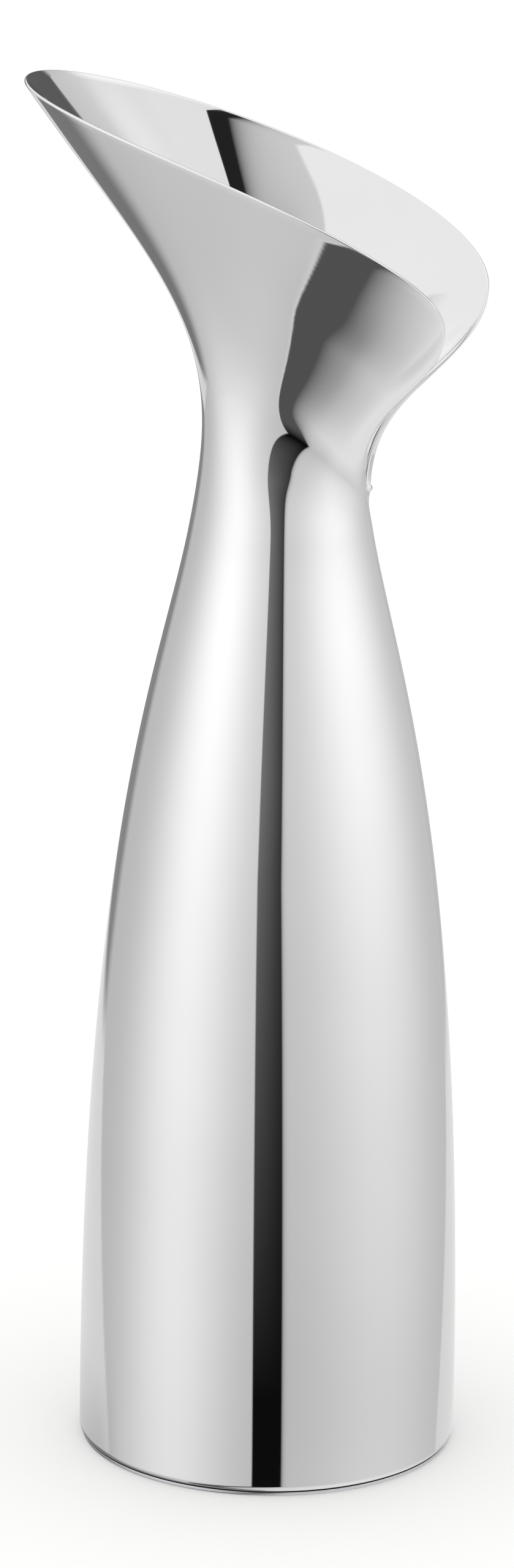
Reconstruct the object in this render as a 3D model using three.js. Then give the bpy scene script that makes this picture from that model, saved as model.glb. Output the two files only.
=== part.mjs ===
// One-litre water carafe of polished stainless steel sheet, in millimetres, +Z up.
// The origin is the centre of the standing face. The pouring tip points to -X and the notch faces +X.
// A round body closes on a base plate below and is butt-welded to a flared, lily-shaped spout at the neck.
import * as THREE from "three";

// Sheet and welds
const WALL = 0.8; // gauge of the body and the spout
const PLATE_GAUGE = 0.8; // gauge of the base plate
const WELD_WIDTH = 1.2; // height of the weld that joins body and spout
const WELD_BEAD = 0.35; // how far that weld stands proud inside the neck
const FILLET_LEG = 0.7; // leg of the weld that joins body and base plate
const WELD_GAP = 0.1; // clearance between a weld and the edge it runs along

// Body, a round vessel with a straight foot, drawn in to a slim neck
const BODY_RADIUS = 45;
const CORNER_RADIUS = 1.6; // outside radius where the wall turns in under the foot
const FLANGE_WIDTH = 3; // turned-in flange that carries the base plate
const PLATE_INSET = 0.7; // step from the body wall in to the edge of the base plate
const PLATE_EDGE = 0.25; // broken edge round the base plate
const FOOT_HEIGHT = 8; // height where the straight foot ends and the wall starts to draw in
const NECK_RADIUS = 19.6;
const NECK_HEIGHT = 241.5; // height where the drawn-in curve would run upright again
const FOOT_PULL = 170.3; // how long the curve stays upright above the foot
const NECK_PULL = 39.8; // how long the curve stays upright below the neck
const SEAM_BELOW_NECK = 19.5; // the body is trimmed this far below the neck height

// Rim of the spout in side view: heights above the seam, reaches out from the neck radius
const TIP_RISE = 102.8;
const TIP_REACH = 42;
const TIP_SLOPE = THREE.MathUtils.degToRad(14.4); // fall of the rim as it leaves the tip
const TIP_PULL = 36;
const LOBE_RISE = 54.8; // the two lobes beside the notch reach furthest at this height
const LOBE_REACH = 23.4;
const LOBE_PULL_ABOVE = 18.4;
const LOBE_PULL_BELOW = 15.7;
const LOBE_SHARE = 0.64; // share of the rim that runs from the tip to a lobe
const NOTCH_RISE = 11.9;
const NOTCH_REACH = 0.8;
const NOTCH_PULL = 22.3;
const NOTCH_LEAN = THREE.MathUtils.degToRad(-3.1); // lean of the rim as it enters the notch

// Rim of the spout in plan: a half width that swells towards the tip and closes at the notch
const MOUTH_HALF_WIDTH = 28.65;
const TIP_SWELL = 0.71;
const END_PINCH = 0.2;

// Ribs of the spout, which leave the neck along its wall and arrive at the rim with a flare.
// A pull is a share of the rib's own length.
const RIB = {
  tip: { startPull: 0.5, endPull: 0.59, flare: THREE.MathUtils.degToRad(37.5) },
  side: { startPull: 0.31, endPull: 0.29, flare: THREE.MathUtils.degToRad(11.5) },
  notch: { startPull: 0.33, endPull: 0.3, flare: THREE.MathUtils.degToRad(27.5) },
};
// Two bells round the spout add to the ribs: flanks and lobes follow the neck for longer and open later.
const FLANK = {
  place: 0.116, // middle of the bell, as the cosine of the turn from the tip
  width: 0.323,
  startPull: 0.223,
  endPull: 0.266,
  flare: THREE.MathUtils.degToRad(2.2),
  sweep: THREE.MathUtils.degToRad(3.2), // turns the rib's end round the axis
};
const BACK_LOBE = {
  place: -0.477,
  width: 0.481,
  startPull: 0.342,
  endPull: 0.403,
  flare: THREE.MathUtils.degToRad(25.5),
  sweep: THREE.MathUtils.degToRad(10.5),
};
const RIB_FAN = 0.427; // 0 keeps ribs in upright planes through the axis, 1 spaces them evenly round the neck

// Facets
const ROUND_SEGMENTS = 64;
const SPOUT_SEGMENTS = 96;
const BODY_STEPS = 14;
const RIB_STEPS = 12;
const CORNER_STEPS = 3;
const LIP_STEPS = 4;
const BEAD_STEPS = 3;

// Heights and radii that follow from these
const FOOT_Z = PLATE_GAUGE;
const SEAM_Z = NECK_HEIGHT - SEAM_BELOW_NECK;
const SPOUT_Z = SEAM_Z + WELD_WIDTH;
const FLANGE_OUTER = BODY_RADIUS - CORNER_RADIUS;
const FLANGE_INNER = FLANGE_OUTER - FLANGE_WIDTH;
const PLATE_RADIUS = BODY_RADIUS - PLATE_INSET;

const UP = new THREE.Vector3(0, 0, 1);
const steps = (count) => Array.from({ length: count + 1 }, (_, i) => i / count);

// Outer profile of the body above its foot: x is the radius, y the height.
const drawnCurve = new THREE.CubicBezierCurve(
  new THREE.Vector2(BODY_RADIUS, FOOT_HEIGHT),
  new THREE.Vector2(BODY_RADIUS, FOOT_HEIGHT + FOOT_PULL),
  new THREE.Vector2(NECK_RADIUS, NECK_HEIGHT - NECK_PULL),
  new THREE.Vector2(NECK_RADIUS, NECK_HEIGHT),
);

// Where the curve passes a height, by halving: the curve climbs all the way.
function curveAtHeight(height) {
  let low = 0;
  let high = 1;
  for (let i = 0; i < 50; i++) {
    const middle = (low + high) / 2;
    if (drawnCurve.getPoint(middle).y < height) low = middle;
    else high = middle;
  }
  return low;
}

const seamPlace = curveAtHeight(SEAM_Z);
const seamTangent = drawnCurve.getTangent(seamPlace);
const SEAM_RADIUS = drawnCurve.getPoint(seamPlace).x;
const SEAM_LEAN = seamTangent.x / seamTangent.y; // change of radius with height at the seam
const WALL_ACROSS = WALL * Math.hypot(1, SEAM_LEAN); // the wall as a level cut at the seam shows it
const SPOUT_RADIUS = SEAM_RADIUS + SEAM_LEAN * WELD_WIDTH;

// A round solid from a profile of (radius, height) points, upright about Z.
function revolve(profile) {
  const geometry = new THREE.LatheGeometry(profile, ROUND_SEGMENTS);
  return geometry.rotateX(Math.PI / 2);
}

// An arc of a profile, from one angle to another.
function arc(centreRadius, centreHeight, radius, from, to, count) {
  return steps(count).map((share) => {
    const angle = THREE.MathUtils.lerp(from, to, share);
    return new THREE.Vector2(
      centreRadius + radius * Math.cos(angle),
      centreHeight + radius * Math.sin(angle),
    );
  });
}

// Body: the outer wall up to the seam, a level cut there, and the inner wall back down to the flange.
function bodyShell() {
  const cornerZ = FOOT_Z + CORNER_RADIUS;
  const innerCorner = Math.max(CORNER_RADIUS - WALL, WALL / 4);
  const innerCornerX = BODY_RADIUS - WALL - innerCorner;
  const innerCornerZ = FOOT_Z + WALL + innerCorner;
  const wall = steps(BODY_STEPS).map((share) => {
    const place = share * seamPlace;
    const outer = drawnCurve.getPoint(place);
    const tangent = drawnCurve.getTangent(place);
    const inner = new THREE.Vector2(outer.x - WALL * tangent.y, outer.y + WALL * tangent.x);
    return { outer, inner };
  });
  wall.at(-1).inner.set(SEAM_RADIUS - WALL_ACROSS, SEAM_Z);
  const profile = [
    new THREE.Vector2(FLANGE_INNER, FOOT_Z),
    ...arc(FLANGE_OUTER, cornerZ, CORNER_RADIUS, -Math.PI / 2, 0, CORNER_STEPS),
    ...wall.map((cut) => cut.outer),
    ...wall.map((cut) => cut.inner).reverse(),
    ...arc(innerCornerX, innerCornerZ, innerCorner, 0, -Math.PI / 2, CORNER_STEPS),
    new THREE.Vector2(FLANGE_INNER, FOOT_Z + WALL),
    new THREE.Vector2(FLANGE_INNER, FOOT_Z),
  ];
  return revolve(profile);
}

// Base plate: a flat disc under the flange, and the face that the carafe stands on.
function basePlate() {
  return revolve([
    new THREE.Vector2(0, 0),
    new THREE.Vector2(PLATE_RADIUS - PLATE_EDGE, 0),
    new THREE.Vector2(PLATE_RADIUS, PLATE_EDGE),
    new THREE.Vector2(PLATE_RADIUS, FOOT_Z),
    new THREE.Vector2(0, FOOT_Z),
  ]);
}

// Fillet weld inside the body: it lies on the base plate, along the inner edge of the flange.
function baseWeld() {
  const edge = FLANGE_INNER - WELD_GAP;
  return revolve([
    new THREE.Vector2(edge - FILLET_LEG, FOOT_Z),
    new THREE.Vector2(edge, FOOT_Z),
    ...arc(edge - FILLET_LEG, FOOT_Z, FILLET_LEG, Math.PI / 4, Math.PI / 2, BEAD_STEPS),
    new THREE.Vector2(edge - FILLET_LEG, FOOT_Z),
  ]);
}

// Butt weld of the neck: ground flush outside, a low bead inside.
function neckWeld() {
  const bead = steps(BEAD_STEPS).map((share) => {
    const lift = Math.sin(share * Math.PI) * WELD_BEAD;
    const radius = THREE.MathUtils.lerp(SPOUT_RADIUS, SEAM_RADIUS, share) - WALL_ACROSS - lift;
    return new THREE.Vector2(radius, THREE.MathUtils.lerp(SPOUT_Z, SEAM_Z, share));
  });
  return revolve([
    new THREE.Vector2(SEAM_RADIUS, SEAM_Z),
    new THREE.Vector2(SPOUT_RADIUS, SPOUT_Z),
    ...bead,
    new THREE.Vector2(SEAM_RADIUS, SEAM_Z),
  ]);
}

// The rim in side view, x along the spout and y the height: tip to lobe, then lobe to notch.
const tip = new THREE.Vector2(-NECK_RADIUS - TIP_REACH, SEAM_Z + TIP_RISE);
const lobe = new THREE.Vector2(NECK_RADIUS + LOBE_REACH, SEAM_Z + LOBE_RISE);
const notch = new THREE.Vector2(NECK_RADIUS + NOTCH_REACH, SEAM_Z + NOTCH_RISE);
const tipToLobe = new THREE.CubicBezierCurve(
  tip,
  new THREE.Vector2(Math.cos(TIP_SLOPE), -Math.sin(TIP_SLOPE)).multiplyScalar(TIP_PULL).add(tip),
  new THREE.Vector2(lobe.x, lobe.y + LOBE_PULL_ABOVE),
  lobe,
);
const lobeToNotch = new THREE.CubicBezierCurve(
  lobe,
  new THREE.Vector2(lobe.x, lobe.y - LOBE_PULL_BELOW),
  new THREE.Vector2(Math.sin(NOTCH_LEAN), Math.cos(NOTCH_LEAN)).multiplyScalar(NOTCH_PULL).add(notch),
  notch,
);

// A point of the rim. The turn is 0 at the tip and half a circle at the notch.
function rimPoint(turn) {
  const run = (1 - Math.cos(turn)) / 2;
  const side =
    run <= LOBE_SHARE
      ? tipToLobe.getPoint(run / LOBE_SHARE)
      : lobeToNotch.getPoint((run - LOBE_SHARE) / (1 - LOBE_SHARE));
  const ahead = Math.cos(turn);
  const half = MOUTH_HALF_WIDTH * Math.sin(turn) * (1 + TIP_SWELL * ahead - END_PINCH * ahead * ahead);
  return new THREE.Vector3(side.x, half, side.y);
}

// A rib value that passes smoothly from the tip over the sides to the notch.
function bells(name, turn) {
  const ahead = Math.cos(turn);
  const flank = Math.exp(-(((ahead - FLANK.place) / FLANK.width) ** 2));
  const lobeBell = Math.exp(-(((ahead - BACK_LOBE.place) / BACK_LOBE.width) ** 2));
  return FLANK[name] * flank + BACK_LOBE[name] * lobeBell;
}

function ribValue(name, turn) {
  const ahead = Math.cos(turn);
  const { tip: front, side, notch: back } = RIB;
  const slope = (front[name] - back[name]) / 2;
  const bow = (front[name] + back[name]) / 2 - side[name];
  return side[name] + slope * ahead + bow * ahead * ahead + bells(name, turn);
}

// One rib of the outer surface: a cubic curve from the neck up to the rim.
function rib(turn) {
  const end = rimPoint(turn);
  const bearing = Math.atan2(end.y, -end.x);
  const wrapped = bearing < 0 ? bearing + 2 * Math.PI : bearing;
  const angle = THREE.MathUtils.lerp(wrapped, turn, RIB_FAN);
  const radial = new THREE.Vector3(-Math.cos(angle), Math.sin(angle), 0);
  const start = radial.clone().multiplyScalar(SPOUT_RADIUS).setZ(SPOUT_Z);
  const leave = radial.clone().multiplyScalar(SEAM_LEAN).add(UP).normalize();
  const outward = end.clone().sub(start).setZ(0).normalize();
  outward.applyAxisAngle(UP, bells("sweep", turn) * Math.sin(turn));
  const flare = ribValue("flare", turn);
  const arrive = outward.multiplyScalar(Math.sin(flare)).addScaledVector(UP, Math.cos(flare));
  const length = start.distanceTo(end);
  return new THREE.CubicBezierCurve3(
    start,
    start.clone().addScaledVector(leave, length * ribValue("startPull", turn)),
    end.clone().addScaledVector(arrive, -length * ribValue("endPull", turn)),
    end,
  );
}

// The outer surface as rings of points from the neck to the rim, with its normals.
function spoutSurface() {
  const turns = steps(SPOUT_SEGMENTS).slice(0, -1).map((share) => share * 2 * Math.PI);
  const ribs = turns.map(rib);
  const rings = steps(RIB_STEPS).map((place) => ribs.map((curve) => curve.getPoint(place)));
  const normals = rings.map((ring, row) =>
    ring.map((_, i) => {
      const along = ribs[i].getTangent(row / RIB_STEPS);
      const next = ring[(i + 1) % SPOUT_SEGMENTS];
      const last = ring[(i + SPOUT_SEGMENTS - 1) % SPOUT_SEGMENTS];
      return along.cross(next.clone().sub(last)).normalize();
    }),
  );
  return { ribs, rings, normals };
}

// A closed solid from rings of points, where each ring joins the next and the last joins the first.
function ringSolid(rings) {
  const size = rings[0].length;
  const index = [];
  rings.forEach((_, row) => {
    const above = (row + 1) % rings.length;
    for (let i = 0; i < size; i++) {
      const a = row * size + i;
      const b = row * size + ((i + 1) % size);
      const c = above * size + i;
      const d = above * size + ((i + 1) % size);
      index.push(a, c, b, b, c, d);
    }
  });
  const geometry = new THREE.BufferGeometry().setFromPoints(rings.flat());
  geometry.setIndex(index);
  geometry.computeVertexNormals();
  return geometry;
}

// Spout: the lofted outer surface, a rounded lip along the rim and the inner surface one gauge in.
function spoutShell() {
  const { ribs, rings, normals } = spoutSurface();
  const inner = rings.map((ring, row) =>
    ring.map((point, i) => point.clone().addScaledVector(normals[row][i], -WALL)),
  );
  inner[0] = rings[0].map((point) => {
    const share = (SPOUT_RADIUS - WALL_ACROSS) / SPOUT_RADIUS;
    return new THREE.Vector3(point.x * share, point.y * share, point.z);
  });
  const lip = steps(LIP_STEPS)
    .slice(1, -1)
    .map((share) =>
      ribs.map((curve, i) => {
        const normal = normals.at(-1)[i];
        const angle = share * Math.PI;
        return rings
          .at(-1)[i].clone()
          .addScaledVector(normal, (WALL / 2) * (Math.cos(angle) - 1))
          .addScaledVector(curve.getTangent(1), (WALL / 2) * Math.sin(angle));
      }),
    );
  return ringSolid([...rings, ...lip, ...inner.reverse()]);
}

const mirrorSteel = { color: 0xd9dbdd, roughness: 0.04, metalness: 1 };
const satinSteel = { color: 0xc4c6c8, roughness: 0.32, metalness: 1 };
const weldSteel = { color: 0xb9b6b0, roughness: 0.4, metalness: 1 };

const carafe = new THREE.Group();
const pieces = [
  ["body_shell", bodyShell(), mirrorSteel],
  ["spout_shell", spoutShell(), mirrorSteel],
  ["base_plate", basePlate(), satinSteel],
  ["neck_weld", neckWeld(), weldSteel],
  ["base_weld", baseWeld(), weldSteel],
];
for (const [name, geometry, finish] of pieces) {
  const mesh = new THREE.Mesh(geometry, new THREE.MeshStandardMaterial(finish));
  mesh.name = name;
  carafe.add(mesh);
}

export default carafe;
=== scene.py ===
"""Polished steel carafe in a white light tent.

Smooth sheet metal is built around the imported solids, dressed and lit. Lengths are in
millimetres until a mesh is made, +Z is up, and the pouring tip points to -X.
"""

import logging
import math
from collections.abc import Callable
from dataclasses import dataclass
from enum import Enum
from functools import partial

import bpy
import numpy as np
from mathutils import Matrix, Vector

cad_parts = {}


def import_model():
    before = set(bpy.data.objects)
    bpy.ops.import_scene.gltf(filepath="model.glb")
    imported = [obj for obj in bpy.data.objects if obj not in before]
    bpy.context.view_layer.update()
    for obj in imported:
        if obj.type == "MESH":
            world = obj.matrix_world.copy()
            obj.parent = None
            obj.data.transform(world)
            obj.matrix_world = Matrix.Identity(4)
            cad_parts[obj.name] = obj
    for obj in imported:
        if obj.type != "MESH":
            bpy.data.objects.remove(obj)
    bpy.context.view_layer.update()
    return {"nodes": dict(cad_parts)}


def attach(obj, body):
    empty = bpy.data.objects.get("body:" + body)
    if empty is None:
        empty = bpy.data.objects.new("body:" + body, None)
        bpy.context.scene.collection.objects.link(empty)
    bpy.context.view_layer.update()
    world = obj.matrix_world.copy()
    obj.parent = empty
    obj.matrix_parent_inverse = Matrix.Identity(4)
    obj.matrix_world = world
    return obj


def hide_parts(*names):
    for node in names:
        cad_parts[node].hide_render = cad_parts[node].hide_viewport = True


MM = 0.001
PHOTO_SIZE = (839, 2560)
BODY = "root"
LOG = logging.getLogger("carafe")
MIX_A, MIX_B, MIX_RESULT = 6, 7, 2  # colour sockets of a Mix node
UP = np.array([0.0, 0.0, 1.0])
Number = float | np.ndarray
Span = tuple[float, float]  # where a blend starts and where it ends


class Slot(Enum):
    """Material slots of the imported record."""

    POLISHED = "polished_steel"
    SATIN = "satin_steel"
    WELD = "weld_steel"


class Side(Enum):
    """Which finish a face of a two-sided piece takes."""

    OUTSIDE = 0
    INSIDE = 1


class Ends(Enum):
    """What becomes of the first and the last ring of a surface."""

    JOINED = "the last ring joins the first"
    CAPPED = "each is closed about its middle"
    OPEN = "both stay open"


# ---- Nodes and colours ----


def linear(hex_colour: str) -> tuple[float, float, float, float]:
    """Turns an sRGB hex colour into linear light.

    Args:
        hex_colour: colour such as "#d8dadc".

    Returns:
        Linear red, green and blue, and an alpha of 1.
    """
    srgb = np.array([int(hex_colour[i : i + 2], 16) for i in (1, 3, 5)]) / 255.0
    curve = np.where(srgb <= 0.04045, srgb / 12.92, ((srgb + 0.055) / 1.055) ** 2.4)
    red, green, blue = curve.tolist()
    return red, green, blue, 1.0


def add_node(
    tree: bpy.types.NodeTree, kind: str, inputs: dict | None = None, **settings: object
) -> bpy.types.Node:
    """Adds one node, sets its properties and fills its inputs.

    Args:
        tree: node tree that takes the node.
        kind: Blender's name for the type of shader node, after its prefix.
        inputs: by input name or number, a value to set or an output socket to link.
        settings: properties of the node, such as its operation.

    Returns:
        The new node.
    """
    made = tree.nodes.new("ShaderNode" + kind)
    for name, value in settings.items():
        setattr(made, name, value)
    for key, value in (inputs or {}).items():
        if isinstance(value, bpy.types.NodeSocket):
            tree.links.new(value, made.inputs[key])
        else:
            made.inputs[key].default_value = value
    return made


def new_material(name: str) -> tuple[bpy.types.Material, Callable[..., bpy.types.Node]]:
    """Makes an empty node material.

    Args:
        name: name of the finish.

    Returns:
        The material, and add_node for its own tree.
    """
    material = bpy.data.materials.new(name)
    material.use_nodes = True
    material.node_tree.nodes.clear()
    return material, partial(add_node, material.node_tree)


# ---- Blends ----


def ramp(value: Number, start: Number, end: Number) -> np.ndarray:
    """Share of the way from start to end, held at 0 and 1 beyond them.

    Args:
        value: numbers to place.
        start: number that gives 0.
        end: number that gives 1.

    Returns:
        A share for each number.
    """
    return np.clip((value - start) / (end - start), 0, 1)


def ease(value: Number, start: Number, end: Number) -> np.ndarray:
    """A ramp that starts and stops gently: s^2 (3 - 2s), s being the share of the way.

    Args:
        value: numbers to place.
        start: number that gives 0.
        end: number that gives 1.

    Returns:
        A share for each number.
    """
    share = ramp(value, start, end)
    return share * share * (3 - 2 * share)


def cover(under: Number, over: Number, share: Number) -> Number:
    """Lays one tone over another: under + (over - under) share.

    Args:
        under: tones underneath.
        over: tones on top.
        share: how much they cover, 0 to 1.

    Returns:
        The mixed tones.
    """
    return under + (over - under) * share


# ---- Finishes ----


@dataclass(frozen=True)
class MirrorSteel:
    """Stainless steel sheet, spun and buffed to a mirror.

    It gives sharp reflections, with a faint grain of buffing lines that runs level round the
    vessel, cloudy patches where the polish is a little less bright, and wear at the foot and lip.
    """

    name: str = "buffed_stainless_steel"
    bright: str = "#e3e3e3"
    clouded: str = "#dcdcdc"
    polish: float = 0.018
    haze: float = 0.022
    wear: float = 0.07
    buff_spacing: float = 0.5  # buffing lines are finer; this is as coarse as shows in a render
    buff_length: float = 45.0
    buff_depth: float = 0.00012
    cloud_size: float = 38.0
    foot_wear_height: float = 2.2

    def material(self) -> bpy.types.Material:
        """Makes the finish.

        Returns:
            The node material.
        """
        material, add = new_material(self.name)
        place = add("TexCoord").outputs["Object"]
        along = 1 / (self.buff_length * MM)
        across = 1 / (self.buff_spacing * MM)
        lines = add("Mapping", {"Vector": place, "Scale": (along, along, across)}).outputs[0]
        grain = add(
            "TexNoise", {"Vector": lines, "Scale": 1.0, "Detail": 3.0, "Roughness": 0.6}
        ).outputs["Fac"]
        cloud = add(
            "TexNoise", {"Vector": place, "Scale": 1 / (self.cloud_size * MM), "Detail": 2.0}
        ).outputs["Fac"]
        tones = {"Factor": cloud, MIX_A: linear(self.bright), MIX_B: linear(self.clouded)}
        colour = add("Mix", tones, data_type="RGBA").outputs[MIX_RESULT]
        height = add("SeparateXYZ", {0: place}).outputs["Z"]
        foot = add(
            "MapRange",
            {"Value": height, "From Max": self.foot_wear_height * MM, "To Min": 1.0, "To Max": 0.0},
        ).outputs[0]
        lip = add("Attribute", attribute_name="lip").outputs["Fac"]
        edge = add("Math", {0: foot, 1: lip}, operation="MAXIMUM").outputs[0]
        rub = add("Math", {0: edge, 1: grain}, operation="MULTIPLY").outputs[0]
        mottle = add("Math", {0: grain, 1: cloud}, operation="MULTIPLY").outputs[0]
        sheen = add(
            "Math", {0: mottle, 1: self.haze, 2: self.polish}, operation="MULTIPLY_ADD"
        ).outputs[0]
        roughness = add(
            "Math", {0: rub, 1: self.wear, 2: sheen}, operation="MULTIPLY_ADD"
        ).outputs[0]
        bump = add(
            "Bump", {"Height": grain, "Strength": 1.0, "Distance": self.buff_depth * MM}
        ).outputs[0]
        metal = {"Base Color": colour, "Metallic": 1.0, "Roughness": roughness, "Normal": bump}
        shader = add("BsdfPrincipled", metal)
        add("OutputMaterial", {"Surface": shader.outputs[0]})
        return material


@dataclass(frozen=True)
class TurnedSteel:
    """Stainless steel disc, faced on a lathe: satin, with fine rings about its centre."""

    name: str = "lathe_turned_stainless_steel"
    ridge: str = "#d3d4d6"
    groove: str = "#aeb0b3"
    ring_spacing: float = 0.45  # tool marks are finer; this is as coarse as shows in a render
    ring_depth: float = 0.004
    smooth: float = 0.22
    rough: float = 0.38

    def material(self) -> bpy.types.Material:
        """Makes the finish.

        Returns:
            The node material.
        """
        material, add = new_material(self.name)
        place = add("TexCoord").outputs["Object"]
        # A ring wave repeats every 2 pi / (20 * scale), so the scale follows from the spacing.
        scale = 2 * math.pi / (20 * self.ring_spacing * MM)
        rings = add(
            "TexWave",
            {"Vector": place, "Scale": scale, "Distortion": 0.6, "Detail": 1.0},
            wave_type="RINGS",
            rings_direction="Z",
        ).outputs["Fac"]
        tones = {"Factor": rings, MIX_A: linear(self.groove), MIX_B: linear(self.ridge)}
        colour = add("Mix", tones, data_type="RGBA").outputs[MIX_RESULT]
        roughness = add(
            "MapRange", {"Value": rings, "To Min": self.rough, "To Max": self.smooth}
        ).outputs[0]
        bump = add("Bump", {"Height": rings, "Distance": self.ring_depth * MM}).outputs[0]
        metal = {"Base Color": colour, "Metallic": 1.0, "Roughness": roughness, "Normal": bump}
        shader = add("BsdfPrincipled", metal)
        add("OutputMaterial", {"Surface": shader.outputs[0]})
        return material


@dataclass(frozen=True)
class WeldSteel:
    """Stainless weld metal, pickled after welding: dull grey with a trace of straw tint."""

    name: str = "pickled_weld_steel"
    clean: str = "#bcbab5"
    tinted: str = "#a89c86"
    patch_size: float = 2.4
    grit_size: float = 0.25
    grit_depth: float = 0.01
    smooth: float = 0.32
    rough: float = 0.52

    def material(self) -> bpy.types.Material:
        """Makes the finish.

        Returns:
            The node material.
        """
        material, add = new_material(self.name)
        place = add("TexCoord").outputs["Object"]
        patch, grit = (
            add(
                "TexNoise", {"Vector": place, "Scale": 1 / (size * MM), "Detail": detail}
            ).outputs["Fac"]
            for size, detail in ((self.patch_size, 2.0), (self.grit_size, 3.0))
        )
        tones = {"Factor": patch, MIX_A: linear(self.clean), MIX_B: linear(self.tinted)}
        colour = add("Mix", tones, data_type="RGBA").outputs[MIX_RESULT]
        roughness = add(
            "MapRange", {"Value": grit, "To Min": self.smooth, "To Max": self.rough}
        ).outputs[0]
        bump = add("Bump", {"Height": grit, "Distance": self.grit_depth * MM}).outputs[0]
        metal = {"Base Color": colour, "Metallic": 1.0, "Roughness": roughness, "Normal": bump}
        shader = add("BsdfPrincipled", metal)
        add("OutputMaterial", {"Surface": shader.outputs[0]})
        return material


# ---- Surfaces ----


def cubic(points: np.ndarray, share: np.ndarray) -> np.ndarray:
    """Points of cubic curves: (1-s)^3, 3(1-s)^2 s, 3(1-s) s^2 and s^3 weigh the four points.

    Args:
        points: four control points, or four arrays of them, along the first axis.
        share: places along the curve, 0 to 1.

    Returns:
        One row of points for each place.
    """
    s = np.asarray(share, float)
    weights = np.stack([(1 - s) ** 3, 3 * (1 - s) ** 2 * s, 3 * (1 - s) * s**2, s**3])
    return np.tensordot(weights, points, axes=(0, 0))


def cubic_slope(points: np.ndarray, share: np.ndarray) -> np.ndarray:
    """Directions of cubic curves: (1-s)^2, 2(1-s)s and s^2 weigh the steps between the points.

    Args:
        points: four control points, or four arrays of them, along the first axis.
        share: places along the curve, 0 to 1.

    Returns:
        One row of unit directions for each place.
    """
    s = np.asarray(share, float)
    weights = np.stack([(1 - s) ** 2, 2 * (1 - s) * s, s**2])
    return unit(np.tensordot(weights, np.diff(points, axis=0), axes=(0, 0)))


def unit(vectors: np.ndarray) -> np.ndarray:
    """Vectors of length 1 along the last axis."""
    return vectors / np.linalg.norm(vectors, axis=-1, keepdims=True)


def arc(
    centre: tuple[float, float], radius: float, start: float, end: float, count: int
) -> np.ndarray:
    """Points of a profile arc: the centre plus the radius turned from one angle to another.

    Args:
        centre: radius and height of the arc's centre.
        radius: radius of the arc.
        start: first angle in degrees, 0 outwards and 90 up.
        end: last angle in degrees.
        count: number of points.

    Returns:
        Rows of radius and height.
    """
    angle = np.radians(np.linspace(start, end, count))
    return np.stack([centre[0] + radius * np.cos(angle), centre[1] + radius * np.sin(angle)], -1)


def revolve(profile: np.ndarray, count: int) -> np.ndarray:
    """Carries a profile round the upright axis: x = r cos a, y = r sin a, z = height.

    Args:
        profile: rows of radius and height.
        count: number of steps round the axis.

    Returns:
        Rings of points, one ring for each row of the profile.
    """
    angle = np.linspace(0, 2 * np.pi, count, endpoint=False)
    radius, height = profile[:, :1], profile[:, 1:]
    return np.stack(
        [radius * np.cos(angle), radius * np.sin(angle), height + 0 * angle], axis=-1
    )


def ring_mesh(
    name: str, rings: np.ndarray, ends: Ends = Ends.JOINED, sharp: float = 30.0
) -> bpy.types.Object:
    """Joins rings of points into one smooth surface of four-sided faces.

    A face runs from a point to the next on its ring and to the two beside them on the next ring.

    Args:
        name: name of the piece.
        rings: points in millimetres, by ring and by step round the ring.
        ends: what becomes of the first and the last ring.
        sharp: edges that bend by more than this many degrees stay crisp.

    Returns:
        The new object, at the origin, with its place in its mesh.
    """
    rows, columns = rings.shape[:2]
    joins = rows if ends is Ends.JOINED else rows - 1
    row, column = np.meshgrid(np.arange(joins), np.arange(columns), indexing="ij")
    above, beside = (row + 1) % rows, (column + 1) % columns
    corners = ((row, column), (row, beside), (above, beside), (above, column))
    faces = np.stack([r * columns + c for r, c in corners], axis=-1).reshape(-1, 4)
    points = rings.reshape(-1, 3)
    if ends is Ends.CAPPED:
        # A fan of triangles about its middle point closes each end.
        first, last = column[0], column[0] + (rows - 1) * columns
        fans = [
            np.stack([0 * first + len(points), np.roll(first, -1), first], axis=-1),
            np.stack([0 * last + len(points) + 1, last, np.roll(last, -1)], axis=-1),
        ]
        points = np.concatenate([points, rings[[0, -1]].mean(axis=1)])
        faces = faces.tolist() + np.concatenate(fans).tolist()
    mesh = bpy.data.meshes.new(name)
    mesh.from_pydata(points * MM, [], faces)
    mesh.polygons.foreach_set("use_smooth", np.ones(len(faces), bool))
    mesh.set_sharp_from_angle(angle=math.radians(sharp))
    mesh.update()
    made = bpy.data.objects.new(name, mesh)
    bpy.context.scene.collection.objects.link(made)
    return made


def put_values(piece: bpy.types.Object, name: str, values: np.ndarray) -> None:
    """Stores one number for each point of a piece, for its finish to read.

    Args:
        piece: mesh object.
        name: name of the attribute.
        values: numbers by ring and step.
    """
    attribute = piece.data.attributes.new(name, "FLOAT", "POINT")
    attribute.data.foreach_set("value", values.astype(np.float32).ravel())


def mount_piece(
    piece: bpy.types.Object, node: str, slot: Slot, *finishes: bpy.types.Material
) -> bpy.types.Object:
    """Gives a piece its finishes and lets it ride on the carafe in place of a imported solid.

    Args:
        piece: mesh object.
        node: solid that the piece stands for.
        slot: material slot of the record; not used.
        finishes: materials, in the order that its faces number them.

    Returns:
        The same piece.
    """
    for finish in finishes:
        piece.data.materials.append(finish)
    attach(piece, BODY)
    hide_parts(node)
    LOG.info("%s stands for %s, %d faces", piece.name, node, len(piece.data.polygons))
    return piece


# ---- Sheet metal ----


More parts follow.
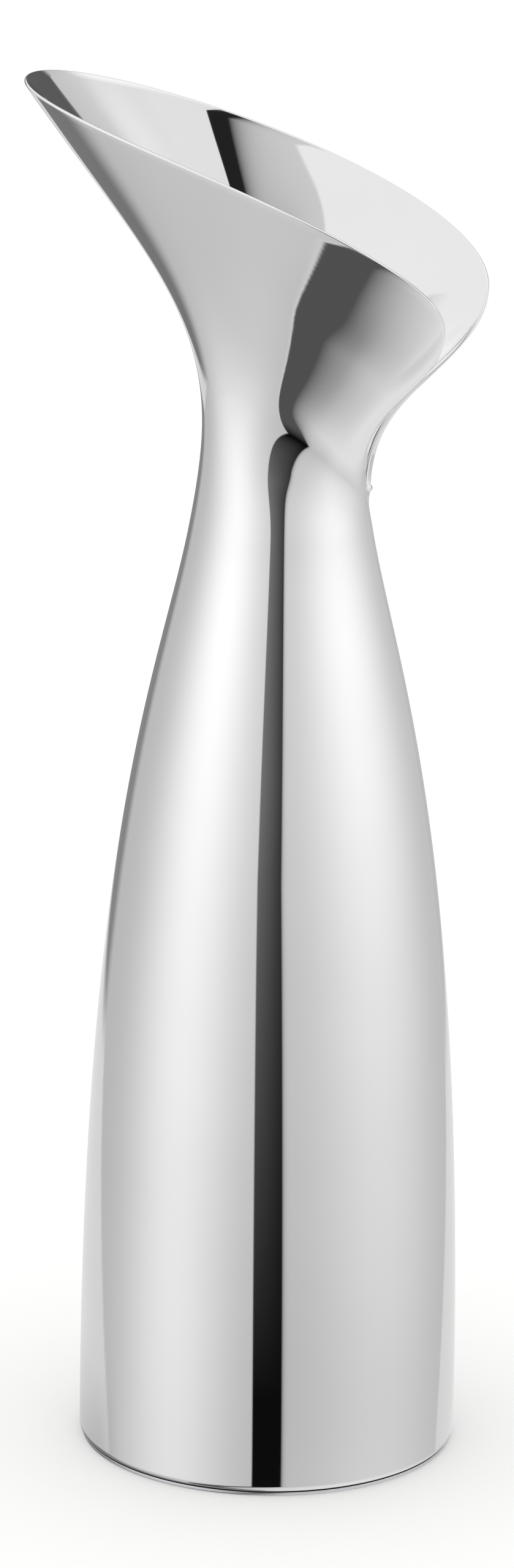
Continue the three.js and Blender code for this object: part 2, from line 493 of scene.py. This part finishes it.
@dataclass
class Body:
    """Round body of sheet steel: a straight foot, drawn in to a slim neck.

    Above the foot the outer profile is one cubic curve that leaves the foot upright and would
    reach the neck upright; it is trimmed at the seam with the spout.
    """

    finish: bpy.types.Material
    radius: float = 45.0
    wall: float = 0.8
    plate_gauge: float = 0.8
    corner: float = 1.6
    flange: float = 3.0
    foot_height: float = 8.0
    neck_radius: float = 19.6
    neck_height: float = 241.5
    foot_pull: float = 170.3
    neck_pull: float = 39.8
    seam_below_neck: float = 19.5
    weld_width: float = 1.2
    true_edge: float = 0.06  # narrow faces beside the corner, so that the wall above shades flat
    steps_round: int = 256
    steps_up: int = 130
    crowding: float = 1.5  # power that shortens the steps up towards the seam
    steps_corner: int = 11
    steps_search: int = 20001

    @property
    def seam_height(self) -> float:
        """Height of the seam with the spout."""
        return self.neck_height - self.seam_below_neck

    @property
    def curve(self) -> np.ndarray:
        """Control points of the outer profile, as radius and height."""
        return np.array(
            [
                (self.radius, self.foot_height),
                (self.radius, self.foot_height + self.foot_pull),
                (self.neck_radius, self.neck_height - self.neck_pull),
                (self.neck_radius, self.neck_height),
            ]
        )

    @property
    def seam_place(self) -> float:
        """Share of the curve at the seam, read off a finely stepped height of the curve."""
        share = np.linspace(0, 1, self.steps_search)
        return float(np.interp(self.seam_height, cubic(self.curve, share)[:, 1], share))

    @property
    def seam_radius(self) -> float:
        """Outer radius at the seam."""
        return float(cubic(self.curve, [self.seam_place])[0, 0])

    @property
    def seam_lean(self) -> float:
        """Change of radius with height at the seam."""
        slope = cubic_slope(self.curve, [self.seam_place])[0]
        return float(slope[0] / slope[1])

    @property
    def spout_radius(self) -> float:
        """Outer radius above the neck weld, where the spout starts."""
        return self.seam_radius + self.seam_lean * self.weld_width

    @property
    def wall_across(self) -> float:
        """The wall as a level cut at the seam shows it."""
        return self.wall * math.hypot(1, self.seam_lean)

    def profile(self) -> np.ndarray:
        """Closed profile: flange, corner, outer wall, level cut, and the inner wall one gauge in.

        Steps up the wall shorten towards the seam, so that its last faces lie true to the curve.

        Returns:
            Rows of radius and height, round the wall.
        """
        low = self.plate_gauge
        ahead = 1 - np.linspace(0, 1, self.steps_up)
        place = self.seam_place * (1 - ahead**self.crowding)
        outer, slope = cubic(self.curve, place), cubic_slope(self.curve, place)
        inner = outer + self.wall * np.stack([-slope[:, 1], slope[:, 0]], -1)
        inner[-1] = (self.seam_radius - self.wall_across, self.seam_height)
        centre = (self.radius - self.corner, low + self.corner)
        edge = centre[0] - self.flange
        return np.concatenate(
            [
                [(edge, low)],
                arc(centre, self.corner, -90, 0, self.steps_corner),
                [(self.radius, low + self.corner + self.true_edge)],
                outer,
                inner[::-1],
                arc(centre, self.corner - self.wall, 0, -90, self.steps_corner),
                [(edge, low + self.wall)],
            ]
        )

    def build(self) -> bpy.types.Object:
        """Revolves the profile."""
        return ring_mesh("drawn_body", revolve(self.profile(), self.steps_round))

    def dress(self) -> bpy.types.Object:
        """Builds the body and gives it its finish."""
        return mount_piece(self.build(), "body_shell", Slot.POLISHED, self.finish)


@dataclass(frozen=True)
class RibShape:
    """How ribs of the spout run: pulls are shares of a rib's length, flare and sweep degrees."""

    start_pull: float
    end_pull: float
    flare: float
    sweep: float = 0.0


@dataclass(frozen=True)
class RibBell:
    """Rib values added in a bell round the spout, exp(-((cosine - place) / width)^2)."""

    place: float
    width: float
    peak: RibShape

    def value(self, name: str, cosine: np.ndarray) -> np.ndarray:
        """What the bell adds to a field of RibShape, by the cosine of the turn from the tip."""
        return getattr(self.peak, name) * np.exp(-(((cosine - self.place) / self.width) ** 2))


@dataclass
class Spout:
    """Flared, lily-shaped spout: a slanted rim from the tip round two lobes to a narrow notch."""

    body: Body
    finish: bpy.types.Material
    tip_rise: float = 102.8
    tip_reach: float = 42.0
    tip_slope: float = 14.4
    tip_pull: float = 36.0
    lobe_rise: float = 54.8
    lobe_reach: float = 23.4
    lobe_pull_above: float = 18.4
    lobe_pull_below: float = 15.7
    lobe_share: float = 0.64
    notch_rise: float = 11.9
    notch_reach: float = 0.8
    notch_pull: float = 22.3
    notch_lean: float = -3.1
    mouth_half_width: float = 28.65
    tip_swell: float = 0.71
    end_pinch: float = 0.2
    tip_rib: RibShape = RibShape(0.516, 0.534, 37.4)
    side_rib: RibShape = RibShape(0.315, 0.136, 3.8)
    notch_rib: RibShape = RibShape(0.63, 0.116, 16.6)
    flank_bell: RibBell = RibBell(0.083, 0.451, RibShape(0.167, 0.483, 5.5, 12.8))
    lobe_bell: RibBell = RibBell(-0.565, 0.642, RibShape(0.214, 0.516, 33.7, 10.3))
    rib_fan: float = 0.54
    iron_up: float = 10.0  # reach of the blur, in steps up
    iron_round: float = 12.0  # and in steps round
    iron_fade: float = 0.2  # share of a rib over which it fades at neck and rim
    iron_from: Span = (-0.5, 0.0)  # minus the cosine of the turn, over which it sets in
    crisp: float = 50.0  # degrees of bend, so that only the cut at the neck stays sharp
    steps_round: int = 384
    steps_up: int = 96
    steps_lip: int = 9

    def rim(self, turn: np.ndarray) -> np.ndarray:
        """Rim of the outer surface.

        In side view it follows two cubic curves, tip to lobe and lobe to notch, by the share
        (1 - cos turn) / 2. Its half width is W sin t (1 + swell cos t - pinch cos^2 t).

        Args:
            turn: place round the rim in radians, 0 at the tip and half a circle at the notch.

        Returns:
            Points of the rim.
        """
        neck, seam = self.body.neck_radius, self.body.seam_height
        slope, lean = math.radians(self.tip_slope), math.radians(self.notch_lean)
        tip = np.array([-neck - self.tip_reach, seam + self.tip_rise])
        lobe = np.array([neck + self.lobe_reach, seam + self.lobe_rise])
        notch = np.array([neck + self.notch_reach, seam + self.notch_rise])
        ahead = tip + self.tip_pull * np.array([math.cos(slope), -math.sin(slope)])
        above = notch + self.notch_pull * np.array([math.sin(lean), math.cos(lean)])
        first = np.array([tip, ahead, lobe + [0, self.lobe_pull_above], lobe])
        second = np.array([lobe, lobe - [0, self.lobe_pull_below], above, notch])
        cosine = np.cos(turn)
        run = (1 - cosine) / 2
        side = np.where(
            (run <= self.lobe_share)[:, None],
            cubic(first, ramp(run, 0, self.lobe_share)),
            cubic(second, ramp(run, self.lobe_share, 1)),
        )
        swell = 1 + self.tip_swell * cosine - self.end_pinch * cosine**2
        half = self.mouth_half_width * np.sin(turn) * swell
        return np.stack([side[:, 0], half, side[:, 1]], axis=-1)

    def rib_value(self, name: str, turn: np.ndarray) -> np.ndarray:
        """A rib value: a quadratic in the turn's cosine, tip over side to notch, and two bells.

        The bells let the ribs of flanks and lobes follow the neck for longer and open later.

        Args:
            name: field of RibShape.
            turn: place round the rim in radians.

        Returns:
            The value at each place.
        """
        tip, side, notch = (
            getattr(shape, name) for shape in (self.tip_rib, self.side_rib, self.notch_rib)
        )
        cosine = np.cos(turn)
        middle = side + (tip - notch) / 2 * cosine + ((tip + notch) / 2 - side) * cosine**2
        bells = self.flank_bell.value(name, cosine) + self.lobe_bell.value(name, cosine)
        return middle + bells

    def ribs(self) -> np.ndarray:
        """Control points of the ribs, which leave the neck along its wall and flare at the rim.

        A rib starts on the neck circle at the bearing of its rim point, fanned towards an even
        spacing. Its two handles are shares of its length, and the sweep times the sine of the
        turn swings its end round the axis.

        Returns:
            Four rows of points, by step round the rim.
        """
        turn = -2 * np.pi * np.arange(self.steps_round) / self.steps_round
        end = self.rim(turn)
        bearing = np.unwrap(np.arctan2(end[:, 1], -end[:, 0]))
        angle = bearing + self.rib_fan * (turn - bearing)
        radial = np.stack([-np.cos(angle), np.sin(angle), 0 * angle], axis=-1)
        seam_top = self.body.seam_height + self.body.weld_width
        start = radial * self.body.spout_radius + UP * seam_top
        x, y, _ = unit((end - start) * [1, 1, 0]).T
        sweep = np.radians(self.rib_value("sweep", turn)) * np.sin(turn)
        outward = np.stack(
            [x * np.cos(sweep) - y * np.sin(sweep), x * np.sin(sweep) + y * np.cos(sweep), 0 * x],
            axis=-1,
        )
        flare = np.radians(self.rib_value("flare", turn))[:, None]
        arrive = np.sin(flare) * outward + np.cos(flare) * UP
        length = np.linalg.norm(end - start, axis=1, keepdims=True)
        leave = unit(radial * self.body.seam_lean + UP)
        first = start + leave * length * self.rib_value("start_pull", turn)[:, None]
        second = end - arrive * length * self.rib_value("end_pull", turn)[:, None]
        return np.stack([start, first, second, end])

    def ironed(self, outer: np.ndarray) -> np.ndarray:
        """Irons flanks and lobes: blends the surface with its own blur along and across the ribs.

        The blur is a Gaussian, exp(-(frequency * reach)^2 / 2) on the waves of the grid. Turned
        copies of the surface beyond neck and rim keep both ends in place. The blend is full
        behind the tip and fades out towards the tip, the neck and the rim.

        Args:
            outer: points of the surface, by step up and step round.

        Returns:
            The smoother surface.
        """
        below, beyond = 2 * outer[0] - outer[:0:-1], 2 * outer[-1] - outer[-2::-1]
        blurred = np.concatenate([below, outer, beyond])
        for axis, reach in ((0, self.iron_up), (1, self.iron_round)):
            wave = 2 * np.pi * np.fft.fftfreq(blurred.shape[axis])
            keep = np.exp(-((wave * reach) ** 2) / 2)
            keep = keep[:, None, None] if axis == 0 else keep[None, :, None]
            blurred = np.fft.ifft(np.fft.fft(blurred, axis=axis) * keep, axis=axis).real
        blurred = blurred[len(below) : len(below) + len(outer)]
        up = np.linspace(0, 1, len(outer))[:, None, None]
        turn = 2 * np.pi * np.arange(outer.shape[1]) / outer.shape[1]
        share = ease(up, 0, self.iron_fade) * ease(1 - up, 0, self.iron_fade)
        share = share * ease(-np.cos(turn), *self.iron_from)[None, :, None]
        return outer + (blurred - outer) * share

    def rings(self) -> tuple[np.ndarray, np.ndarray]:
        """Outer surface, rounded lip and inner surface, as rings from the neck and back to it.

        The ribs sweep the surface, which is then ironed. Its normal is the step round crossed
        with the step up. The inner surface lies one gauge in along it, and the lip is a half
        circle.

        Returns:
            Rings of points, and a mark of 1 on the lip for each point.
        """
        wall = self.body.wall
        ribs = self.ribs()
        share = np.linspace(0, 1, self.steps_up)
        outer = self.ironed(cubic(ribs, share))
        along = unit(np.gradient(outer, axis=0))
        along[0], along[-1] = cubic_slope(ribs, share[[0, -1]])
        around = np.roll(outer, -1, axis=1) - np.roll(outer, 1, axis=1)
        normal = unit(np.cross(around, along))
        inner = outer - wall * normal
        narrower = 1 - self.body.wall_across / self.body.spout_radius
        inner[0] = outer[0] * [narrower, narrower, 1]
        angle = np.linspace(0, np.pi, self.steps_lip + 2)[1:-1, None, None]
        lip = (
            outer[-1]
            + normal[-1] * (wall / 2) * (np.cos(angle) - 1)
            + along[-1] * (wall / 2) * np.sin(angle)
        )
        rings = np.concatenate([outer, lip, inner[::-1]])
        mark = np.zeros(rings.shape[:2])
        mark[self.steps_up - 1 : self.steps_up + self.steps_lip + 1] = 1
        return rings, mark

    def build(self) -> bpy.types.Object:
        """Joins the rings into a closed shell.

        Returns:
            The spout.
        """
        rings, mark = self.rings()
        piece = ring_mesh("flared_spout", rings, sharp=self.crisp)
        put_values(piece, "lip", mark)
        return piece

    def dress(self) -> bpy.types.Object:
        """Builds the spout and gives it its finish."""
        return mount_piece(self.build(), "spout_shell", Slot.POLISHED, self.finish)


@dataclass
class Welds:
    """Butt weld of the neck and fillet weld of the base, with the ripples of the weld pool."""

    body: Body
    outside: bpy.types.Material
    bead: bpy.types.Material
    neck_bead: float = 0.35
    fillet: float = 0.7
    gap: float = 0.1
    ripple_pitch: float = 1.1
    ripple_depth: float = 0.05
    steps_per_ripple: int = 6
    steps_outside: int = 4
    steps_bead: int = 9

    def rippled(self, profile: np.ndarray, lift: np.ndarray, inward: np.ndarray) -> np.ndarray:
        """Revolves a weld profile and lowers its bead by |sin| ripples along the seam.

        Args:
            profile: rows of radius and height.
            lift: share of the ripple that each row takes.
            inward: direction of the ripple for each row, as radius and height.

        Returns:
            Rings of points.
        """
        radius = float(profile[:, 0].mean())
        ripples = round(2 * math.pi * radius / self.ripple_pitch)
        count = ripples * self.steps_per_ripple
        angle = np.linspace(0, 2 * np.pi, count, endpoint=False)
        wave = self.ripple_depth * np.abs(np.sin(angle * ripples / 2))
        depth = lift[:, None] * wave
        r = profile[:, :1] + inward[:, :1] * depth
        z = profile[:, 1:] + inward[:, 1:] * depth
        return np.stack([r * np.cos(angle), r * np.sin(angle), z], axis=-1)

    def build_neck(self) -> bpy.types.Object:
        """Neck weld: flush outside, where it is polished over, and a low sine bead inside.

        Returns:
            The weld, its outside faces and its bead in two material slots.
        """
        radius, lean = self.body.seam_radius, self.body.seam_lean * self.body.weld_width
        up = np.linspace(0, 1, self.steps_outside)
        down = np.linspace(1, 0, self.steps_bead)
        hump = np.sin(np.pi * down)
        outer = radius + lean * up
        inner = radius + lean * down - self.body.wall_across - self.neck_bead * hump
        height = self.body.seam_height + self.body.weld_width * np.concatenate([up, down])
        profile = np.stack([np.concatenate([outer, inner]), height], -1)
        lift = np.concatenate([0 * up, hump])
        inward = np.tile([1.0, 0.0], (len(profile), 1))
        piece = ring_mesh("neck_weld_bead", self.rippled(profile, lift, inward))
        rows, faces = len(profile), len(piece.data.polygons)
        row = np.arange(faces) // (faces // rows)
        side = np.where(row < len(up) - 1, Side.OUTSIDE.value, Side.INSIDE.value)
        piece.data.polygons.foreach_set("material_index", side.astype(np.int32))
        return mount_piece(piece, "neck_weld", Slot.WELD, self.outside, self.bead)

    def build_base(self) -> bpy.types.Object:
        """Base weld: a fillet with a rounded face, on the plate along the flange's edge.

        Returns:
            The weld.
        """
        floor = self.body.plate_gauge
        edge = self.body.radius - self.body.corner - self.body.flange - self.gap
        face = arc((edge - self.fillet, floor), self.fillet, 45, 90, self.steps_bead)
        profile = np.concatenate([[(edge - self.fillet, floor), (edge, floor)], face])
        lift = np.concatenate([[0, 0], np.sin(np.linspace(0, np.pi, self.steps_bead))])
        inward = unit(np.tile([-1.0, -1.0], (len(profile), 1)))
        piece = ring_mesh("base_weld_bead", self.rippled(profile, lift, inward))
        return mount_piece(piece, "base_weld", Slot.WELD, self.bead)

    def dress(self) -> list[bpy.types.Object]:
        """Builds both welds, the neck's first."""
        return [self.build_neck(), self.build_base()]


@dataclass
class BasePlate:
    """Flat disc that closes the foot, its edge broken, and the face that the carafe stands on."""

    body: Body
    finish: bpy.types.Material
    inset: float = 0.7
    edge: float = 0.25
    middle: float = 2.0  # radius of the fan that closes each face
    steps_round: int = 192
    steps_edge: int = 5
    steps_across: int = 14

    def build(self) -> bpy.types.Object:
        """Revolves the disc's profile from the middle of its lower face to that of its upper one.

        Returns:
            The disc.
        """
        radius, top = self.body.radius - self.inset, self.body.plate_gauge
        inwards = np.linspace(radius, self.middle, self.steps_across)
        profile = np.concatenate(
            [
                np.stack([inwards[::-1][:-1], 0 * inwards[1:]], -1),
                arc((radius - self.edge, self.edge), self.edge, -90, 0, self.steps_edge),
                np.stack([inwards, 0 * inwards + top], -1),
            ]
        )
        return ring_mesh("standing_plate", revolve(profile, self.steps_round), Ends.CAPPED)

    def dress(self) -> bpy.types.Object:
        """Builds the plate and gives it its finish."""
        return mount_piece(self.build(), "base_plate", Slot.SATIN, self.finish)


# ---- Studio ----


@dataclass
class Viewpoint:
    """Camera at the photograph's viewing angle, found from the outline of body and rim."""

    bearing: float = 15.0
    elevation: float = 15.51
    roll: float = -0.88
    distance: float = 1500.0
    target_right: float = -4.6
    target_height: float = 160.97
    focal_pixels: float = 10441.3
    sensor: float = 36.0
    sight: float = 100.0  # metres, past the far side of the tent

    def build(self) -> bpy.types.Object:
        """Places the camera: it looks back along its bearing and elevation, then rolls.

        Returns:
            The camera.
        """
        bearing, rise, roll = np.radians([self.bearing, self.elevation, self.roll])
        level = np.array([math.sin(bearing), -math.cos(bearing), 0.0])
        back = level * math.cos(rise) + UP * math.sin(rise)
        right = np.array([math.cos(bearing), math.sin(bearing), 0.0])
        up = np.cross(back, right)
        place = right * self.target_right + back * self.distance + UP * self.target_height
        across = right * math.cos(roll) - up * math.sin(roll)
        upright = right * math.sin(roll) + up * math.cos(roll)
        data = bpy.data.cameras.new("photo_camera")
        data.sensor_fit = "AUTO"
        data.sensor_width = self.sensor
        data.lens = self.focal_pixels / max(PHOTO_SIZE) * self.sensor
        data.clip_end = self.sight
        camera = bpy.data.objects.new("photo_camera", data)
        turned = np.eye(4)
        turned[:3, :4] = np.stack([across, upright, back, place * MM], axis=-1)
        camera.matrix_world = Matrix(turned.tolist())
        bpy.context.scene.collection.objects.link(camera)
        bpy.context.scene.camera = camera
        return camera


@dataclass(frozen=True)
class SoftLight:
    """One lamp behind the cloth: a bell of light about a bearing from the lens, in degrees."""

    bearing: float
    spread: float
    high: float  # glow of its middle above the horizon
    low: float  # and at the table

    def shine(self, bearing: np.ndarray, rise: np.ndarray) -> np.ndarray:
        """Glow on the cloth: exp(-(b / spread)^2), from low to high as the rise goes 0 to 1."""
        bell = np.exp(-(((bearing - self.bearing) / self.spread) ** 2))
        return bell * (self.low + (self.high - self.low) * rise)


@dataclass(frozen=True)
class LensSlit:
    """Dark gap in the cloth for the lens.

    It stands upright down to the table's edge and leans to the left below it, where its right
    edge blurs. Angles are in degrees; spreads, leans and growth are for each degree of drop.
    """

    left: float = -12.67
    right: float = 3.92
    left_spread: float = 0.19
    right_spread: float = 0.23
    least_width: float = 2.0
    table: float = -22.0
    deepest: float = 45.0  # drop below the table past which nothing changes
    left_lean: float = 1.34
    left_bend: float = 0.011
    right_lean: float = 2.03
    right_bend: float = -0.017
    edge: float = 0.6
    blur: float = 1.11
    blur_growth: float = 0.61
    black: float = 0.005
    grey_left: float = 0.218
    grey_right: float = 0.047
    grey_span: Span = (-20.0, 6.0)
    dull: float = 0.103
    dull_span: Span = (-22.0, -30.0)

    def below(self, elevation: np.ndarray) -> np.ndarray:
        """Drop below the table's edge, from 0 to the deepest."""
        return np.clip(self.table - elevation, 0, self.deepest)

    def edges(self, elevation: np.ndarray) -> tuple[np.ndarray, np.ndarray]:
        """Bearings of both edges: straight lines to the table, then a parabola below it.

        Args:
            elevation: degrees above the horizon.

        Returns:
            Left and right edge.
        """
        drop = np.clip(-elevation, 0, -self.table)
        below = self.below(elevation)
        left = self.left + self.left_spread * drop
        right = self.right + self.right_spread * drop
        left = left - self.left_lean * below - self.left_bend * below**2
        right = right - self.right_lean * below - self.right_bend * below**2
        return left, np.maximum(right, left + self.least_width)

    def opening(self, bearing: np.ndarray, elevation: np.ndarray) -> np.ndarray:
        """Share of the gap: a crisp left edge, and a right edge that dies off exponentially.

        Args:
            bearing: degrees from the lens.
            elevation: degrees above the horizon.

        Returns:
            1 in the gap and 0 on the cloth.
        """
        left, right = self.edges(elevation)
        blur = self.blur + self.blur_growth * self.below(elevation)
        fade = np.exp(-np.maximum(bearing - right, 0) / blur)
        return ease(bearing, left - self.edge, left + self.edge) * fade

    def tone(self, bearing: np.ndarray, elevation: np.ndarray) -> np.ndarray:
        """Darkness in the gap: grey high up, more so to the left, black at the table, dull below.

        Args:
            bearing: degrees from the lens.
            elevation: degrees above the horizon.

        Returns:
            Radiance of each point.
        """
        grey = cover(self.grey_left, self.grey_right, ramp(bearing, *self.edges(elevation)))
        high, low = ramp(elevation, *self.grey_span), ramp(elevation, *self.dull_span)
        return self.black + high * grey + low * (self.dull - self.black)


@dataclass(frozen=True)
class TableEdge:
    """Far edge of the table at one side, in degrees; bearings count from the lens to that side."""

    start: float
    climb: float
    high: float
    low: float = -21.0

    def level(self, bearing: np.ndarray) -> np.ndarray:
        """Elevation of the edge: low + climb (bearing - start), and no more than high."""
        return np.minimum(self.high, self.low + self.climb * (bearing - self.start))


@dataclass
class LightTent:
    """White cloth tent with a slit for the lens, lit from outside by two soft lamps.

    Only mirrored rays see it. Its glow is a function of bearing and elevation in degrees: cloth
    and slit in front, a pale table and a dim room behind, and a dark bar at the roof. Sides and
    turns are spans of bearing; the other spans are of elevation.
    """

    lens_bearing: float
    radius: float = 30000.0
    height: float = 160.0
    left_lamp: SoftLight = SoftLight(-60.6, 38.9, 0.714, 0.424)
    right_lamp: SoftLight = SoftLight(74.9, 49.1, 0.688, 0.231)
    slit: LensSlit = LensSlit()
    cloth_high: float = 0.683
    cloth_low: float = 0.592
    cloth_span: Span = (-21.0, 11.0)
    skirt_left: float = 0.6
    skirt_right: float = 0.943
    skirt_blend: float = 3.0
    skirt_shade: float = 0.764
    skirt_span: Span = (-20.0, -45.0)
    wall_left: float = 0.283
    wall_left_side: Span = (-138.0, -152.0)
    wall_right: float = 0.578
    wall_right_side: Span = (150.0, 160.0)
    table_tone: float = 0.839
    table_turn: Span = (100.0, 106.0)
    table_left: TableEdge = TableEdge(116.0, 0.25, -15.0)
    table_right: TableEdge = TableEdge(131.0, 0.28, -16.0)
    table_blend: float = 0.3
    table_front: Span = (-23.0, -22.0)
    room_tone: float = 0.232
    room_side: Span = (-100.0, -128.0)
    room_span: Span = (-20.0, -24.0)
    roof_span: Span = (16.0, 20.0)
    roof_tone: float = 1.0
    roof_dimming: float = 0.28
    roof_side: Span = (30.0, 130.0)
    bar_side: Span = (3.0, 8.6)
    bar_tone: float = 0.02
    bar_blur: float = 3.2
    bar_blur_tone: float = 0.8
    panel_tone: float = 1.09
    panel_side: Span = (-9.5, -10.5)
    panel_span: Span = (33.7, 33.1)
    wing_side: Span = (-35.0, -50.0)
    crown_front: float = 1.224
    crown_back: float = 1.0
    crown_turn: Span = (100.0, 140.0)
    crown_span: Span = (38.0, 46.0)
    corner_tone: float = 0.13
    corner_side: Span = (129.5, 130.5)
    corner_foot: Span = (-2.0, 3.0)
    corner_top: Span = (31.0, 26.0)
    steps_round: int = 1440
    steps_up: int = 361

    def cloth(self, bearing: np.ndarray, elevation: np.ndarray) -> np.ndarray:
        """Cloth walls: an even glow and a bell for each lamp, with a skirt under the table.

        Args:
            bearing: degrees from the lens.
            elevation: degrees above the horizon.

        Returns:
            Radiance of each point.
        """
        rise, below = ramp(elevation, *self.cloth_span), ramp(elevation, *self.skirt_span)
        left = self.slit.edges(elevation)[0]
        beside = ease(bearing, left - self.skirt_blend, left + self.skirt_blend)
        skirt = cover(self.skirt_left, self.skirt_right, beside)
        wall = cover(cover(self.cloth_low, self.cloth_high, rise), skirt, below)
        lamps = self.left_lamp.shine(bearing, rise) + self.right_lamp.shine(bearing, rise)
        return wall + lamps * (1 - self.skirt_shade * below)

    def behind(self, light: np.ndarray, bearing: np.ndarray, elevation: np.ndarray) -> np.ndarray:
        """What stands behind the carafe: a dark wall, a pale table and a dim room at the left.

        Args:
            light: radiance of the cloth.
            bearing: degrees from the lens.
            elevation: degrees above the horizon.

        Returns:
            Radiance of each point.
        """
        wall = cover(light, self.wall_left, ease(bearing, *self.wall_left_side))
        wall = cover(wall, self.wall_right, ease(bearing, *self.wall_right_side))
        turn = np.abs(bearing)
        edge = np.where(bearing < 0, self.table_left.level(turn), self.table_right.level(turn))
        table = ease(elevation, edge + self.table_blend, edge - self.table_blend)
        table = table * ease(turn, *self.table_turn) * ease(elevation, *self.table_front)
        room = ease(bearing, *self.room_side) * ease(elevation, *self.room_span)
        return cover(cover(wall, self.table_tone, table), self.room_tone, room)

    def overhead(self, bearing: np.ndarray, elevation: np.ndarray) -> np.ndarray:
        """What the mouth mirrors: bright cloth right of a dark bar, which softens to the left.

        A panel with a wing hangs at the left, and the crown of the tent is above all of them.

        Args:
            bearing: degrees from the lens.
            elevation: degrees above the horizon.

        Returns:
            Radiance of each point.
        """
        start, end = self.bar_side
        fade = 1 - np.exp(-np.maximum(start - bearing, 0) / self.bar_blur)
        soft = cover(self.bar_tone, self.bar_blur_tone, fade)
        bright = self.roof_tone - self.roof_dimming * ramp(bearing, *self.roof_side)
        panel = ease(bearing, *self.panel_side) * ease(elevation, *self.panel_span)
        panel = np.maximum(panel, ease(bearing, *self.wing_side))
        light = cover(np.where(bearing > end, bright, soft), self.panel_tone, panel)
        crown = cover(self.crown_front, self.crown_back, ease(np.abs(bearing), *self.crown_turn))
        return cover(light, crown, ease(elevation, *self.crown_span))

    def glow(self, bearing: np.ndarray, elevation: np.ndarray) -> np.ndarray:
        """Radiance of the tent: slit, roof and a dark corner laid in turn over what stands round.

        Args:
            bearing: degrees from the lens, positive to its right.
            elevation: degrees above the horizon.

        Returns:
            Radiance of each point.
        """
        light = self.behind(self.cloth(bearing, elevation), bearing, elevation)
        gap = self.slit.opening(bearing, elevation)
        light = cover(light, self.slit.tone(bearing, elevation), gap)
        roof = ease(elevation, *self.roof_span)
        light = cover(light, self.overhead(bearing, elevation), roof)
        corner = ease(elevation, *self.corner_foot) * ease(elevation, *self.corner_top)
        return cover(light, self.corner_tone, corner * ease(bearing, *self.corner_side))

    def build(self) -> bpy.types.Object:
        """Makes the tent as a sphere round the carafe, its grid by elevation and bearing.

        Returns:
            The tent.
        """
        bearing = np.linspace(-180, 180, self.steps_round, endpoint=False)
        elevation = np.linspace(-90, 90, self.steps_up)
        rise, turn = np.meshgrid(elevation, bearing, indexing="ij")
        world = np.radians(turn + self.lens_bearing)
        flat = self.radius * np.cos(np.radians(rise))
        x, y = flat * np.sin(world), -flat * np.cos(world)
        z = self.height + self.radius * np.sin(np.radians(rise))
        tent = ring_mesh("light_tent", np.stack([x, y, z], axis=-1), Ends.OPEN)
        put_values(tent, "glow", self.glow(turn, rise))
        material, add = new_material("lit_tent_cloth")
        glow = add("Attribute", attribute_name="glow").outputs["Fac"]
        lit = add("Emission", {"Strength": glow})
        add("OutputMaterial", {"Surface": lit.outputs[0]})
        tent.data.materials.append(material)
        tent.visible_camera = False
        tent.visible_diffuse = False
        tent.visible_shadow = False
        return tent


@dataclass
class Studio:
    """Pale floor and even white light from all sides."""

    paper: str = "#f6f6f5"
    paper_roughness: float = 0.9
    paper_gloss: float = 0.1
    floor_rings: tuple[float, ...] = (14000.0, 3000.0, 600.0, 120.0, 0.0)
    white: str = "#ffffff"
    seen: float = 1.0  # strength of the white that is seen or mirrored
    light: float = 1.16  # and of the light that falls on floor and carafe
    steps_round: int = 96

    def build_floor(self) -> bpy.types.Object:
        """Makes the floor: a flat disc of matt paper, out of sight of the mirror.

        Returns:
            The floor.
        """
        radius = np.array(self.floor_rings)
        profile = np.stack([radius, 0 * radius], -1)
        floor = ring_mesh("paper_floor", revolve(profile, self.steps_round), Ends.OPEN)
        material, add = new_material("matt_white_paper")
        matt = {"Roughness": self.paper_roughness, "Specular IOR Level": self.paper_gloss}
        shader = add("BsdfPrincipled", {"Base Color": linear(self.paper), **matt})
        add("OutputMaterial", {"Surface": shader.outputs[0]})
        floor.data.materials.append(material)
        floor.visible_glossy = False
        return floor

    def build_world(self) -> bpy.types.World:
        """Makes the world: white where it is seen or mirrored, and an even light elsewhere.

        Returns:
            The world.
        """
        world = bpy.data.worlds.new("white_room")
        world.use_nodes = True
        world.node_tree.nodes.clear()
        add = partial(add_node, world.node_tree)
        path = add("LightPath").outputs
        seen = path["Is Camera Ray"]
        for ray in ("Is Glossy Ray", "Is Transmission Ray"):
            seen = add("Math", {0: seen, 1: path[ray]}, operation="MAXIMUM").outputs[0]
        lit, plain = (
            add("Background", {"Color": linear(self.white), "Strength": strength}).outputs[0]
            for strength in (self.light, self.seen)
        )
        mixed = add("MixShader", {0: seen, 1: lit, 2: plain})
        add("OutputWorld", {"Surface": mixed.outputs[0]})
        bpy.context.scene.world = world
        return world

    def build(self) -> None:
        """Makes the floor and the world."""
        self.build_floor()
        self.build_world()


def main() -> None:
    """Loads the frame, builds and dresses each sub-assembly, and sets up the studio."""
    logging.basicConfig(level=logging.INFO, format="%(name)s: %(message)s")
    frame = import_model()
    LOG.info("frame holds %s", ", ".join(sorted(frame["nodes"])))
    bpy.context.scene.view_settings.view_transform = "Standard"
    viewpoint = Viewpoint()
    viewpoint.build()
    mirror = MirrorSteel().material()
    weld = WeldSteel().material()
    body = Body(mirror)
    body.dress()
    Spout(body, mirror).dress()
    Welds(body, mirror, weld).dress()
    BasePlate(body, TurnedSteel().material()).dress()
    LightTent(viewpoint.bearing).build()
    Studio().build()


if __name__ == "__main__":
    main()
